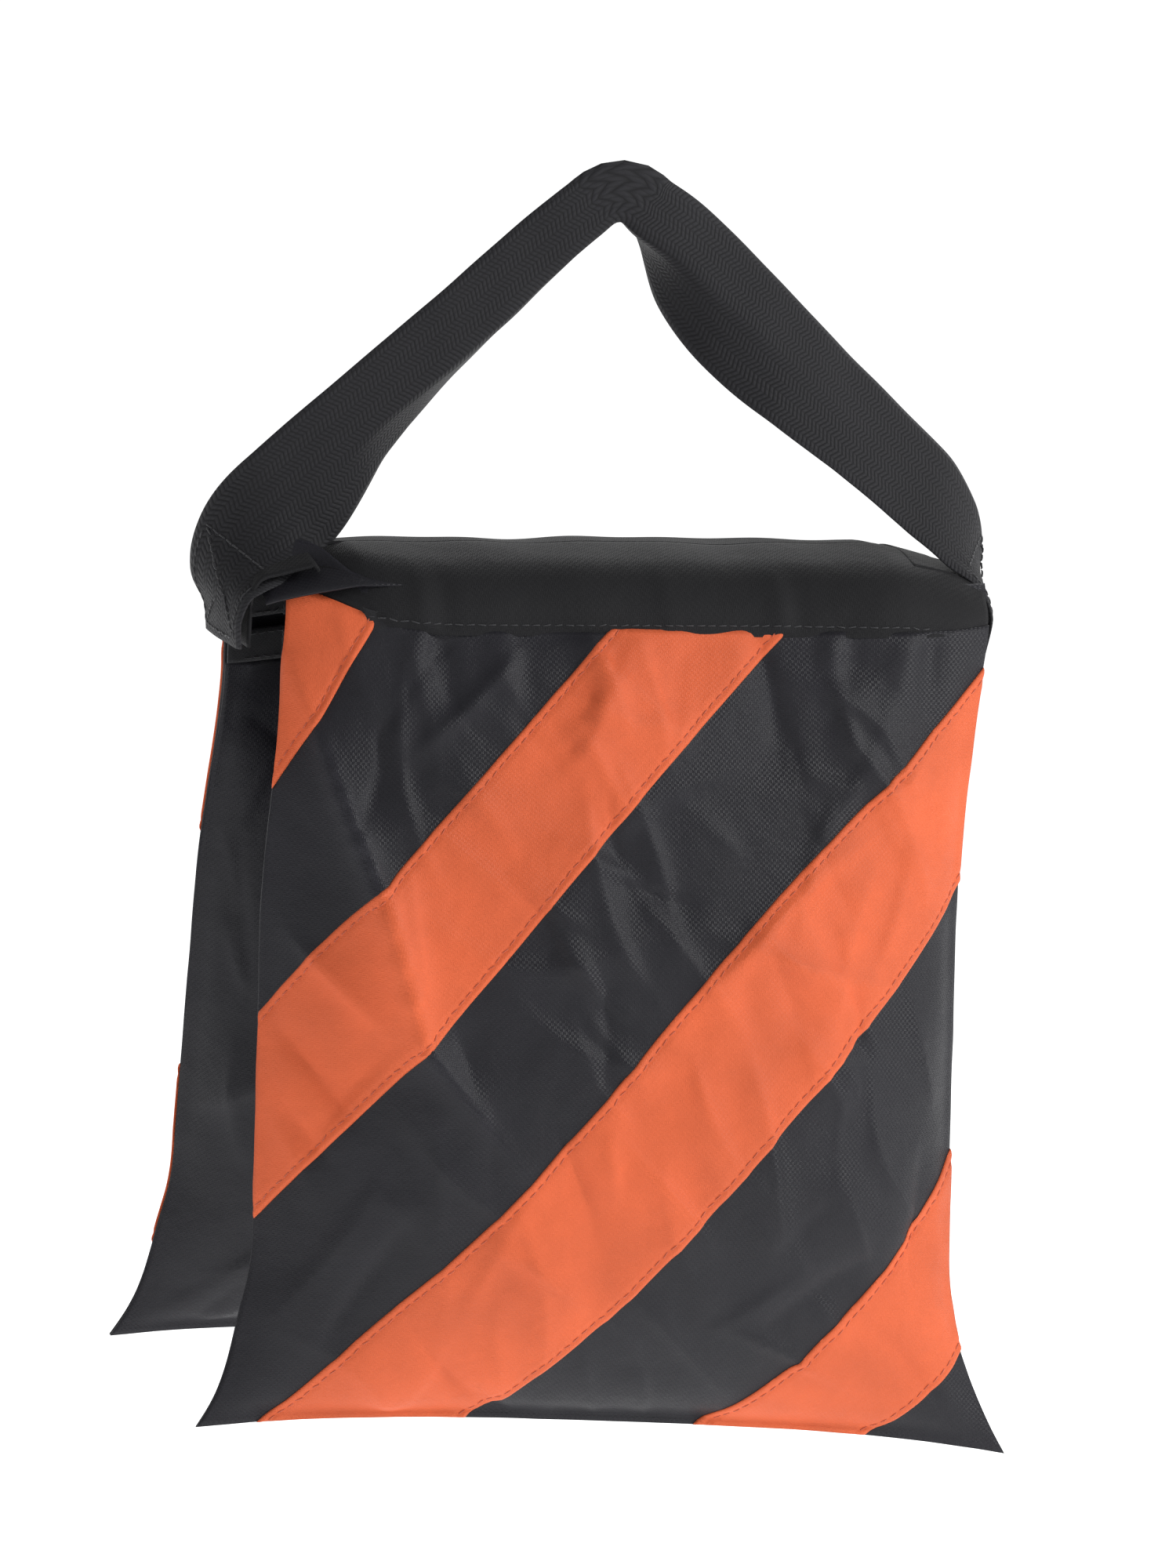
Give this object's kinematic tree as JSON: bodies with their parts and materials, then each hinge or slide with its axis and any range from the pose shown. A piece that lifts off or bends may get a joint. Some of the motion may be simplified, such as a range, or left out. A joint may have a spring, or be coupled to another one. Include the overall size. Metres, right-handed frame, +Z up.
{
  "type": "sandbag",
  "caption": "Saddle sandbag with two striped sand pouches hanging from a soft saddle, zipped on their inner faces, and a webbing handle.",
  "frame": {"origin": "hook seat: the underside of the handle's crest, where a hook or hand holds the bag", "axes": "+Z up along the hanging bag, +X along the handle and the saddle to the right of the front pouch, +Y from the front pouch to the rear pouch"},
  "size_m": [0.254, 0.165, 0.3812],
  "materials": {
    "webbing": "dark grey woven webbing, matt",
    "saddle_cloth": "black coated oxford cloth, matt",
    "black_cloth": "black coated oxford cloth, low sheen",
    "orange_cloth": "orange coated oxford cloth, low sheen",
    "zip_tape": "black woven tape",
    "zip_coil": "black moulded coil",
    "zip_metal": "black painted die-cast zinc, worn at the edges",
    "liner_film": "clear-white polythene film",
    "sand": "dry washed sand, matt"
  },
  "bodies": {
    "handle": {"handle_strap": "webbing"},
    "saddle": {"handle_tail_left": "webbing", "handle_tail_right": "webbing", "saddle_cloth": "saddle_cloth", "saddle_lining": "black_cloth", "saddle_tab_left": "saddle_cloth", "saddle_tab_right": "saddle_cloth"},
    "front_pouch": {"front_top_band": "saddle_cloth", "front_outer_panel": "black_cloth", "front_stripe_1": "orange_cloth", "front_stripe_2": "orange_cloth", "front_stripe_3": "orange_cloth", "front_stripe_4": "orange_cloth", "front_inner_yoke": "black_cloth", "front_zip_tape_upper": "zip_tape", "front_zip_tape_lower": "zip_tape", "front_zip_coil": "zip_coil", "front_zip_end_stop": "zip_metal", "front_zip_top_stop": "zip_metal", "front_inner_panel": "black_cloth", "front_liner_bag": "liner_film", "front_sand_fill": "sand"},
    "front_slider": {"front_zip_slider": "zip_metal"},
    "front_puller": {"front_zip_puller": "zip_metal"},
    "rear_pouch": {"rear_top_band": "saddle_cloth", "rear_outer_panel": "black_cloth", "rear_stripe_1": "orange_cloth", "rear_stripe_2": "orange_cloth", "rear_stripe_3": "orange_cloth", "rear_stripe_4": "orange_cloth", "rear_inner_yoke": "black_cloth", "rear_zip_tape_upper": "zip_tape", "rear_zip_tape_lower": "zip_tape", "rear_zip_coil": "zip_coil", "rear_zip_end_stop": "zip_metal", "rear_zip_top_stop": "zip_metal", "rear_inner_panel": "black_cloth", "rear_liner_bag": "liner_film", "rear_sand_fill": "sand"},
    "rear_slider": {"rear_zip_slider": "zip_metal"},
    "rear_puller": {"rear_zip_puller": "zip_metal"}
  },
  "joints": [
    {"name": "handle_fold", "type": "hinge", "parent": "handle", "child": "saddle", "pos_m": [0, 0, -0.079], "axis": [1, 0, 0], "range_deg": [-80, 80]},
    {"name": "front_pouch_swing", "type": "hinge", "parent": "saddle", "child": "front_pouch", "pos_m": [0, -0.031, -0.0982], "axis": [-1, 0, 0], "range_deg": [0, 80]},
    {"name": "front_slider_run", "type": "slide", "parent": "front_pouch", "child": "front_slider", "axis": [-1, 0, 0], "range_m": [0, 0.116]},
    {"name": "front_puller_flip", "type": "hinge", "parent": "front_slider", "child": "front_puller", "pos_m": [0.058, -0.02767, -0.12625], "axis": [0, 0.0958, 0.9954], "range_deg": [-170, 0]},
    {"name": "rear_pouch_swing", "type": "hinge", "parent": "saddle", "child": "rear_pouch", "pos_m": [0, 0.031, -0.0982], "axis": [1, 0, 0], "range_deg": [0, 80]},
    {"name": "rear_slider_run", "type": "slide", "parent": "rear_pouch", "child": "rear_slider", "axis": [1, 0, 0], "range_m": [0, 0.116]},
    {"name": "rear_puller_flip", "type": "hinge", "parent": "rear_slider", "child": "rear_puller", "pos_m": [-0.058, 0.02767, -0.12625], "axis": [0, -0.0958, 0.9954], "range_deg": [-170, 0]}
  ]
}
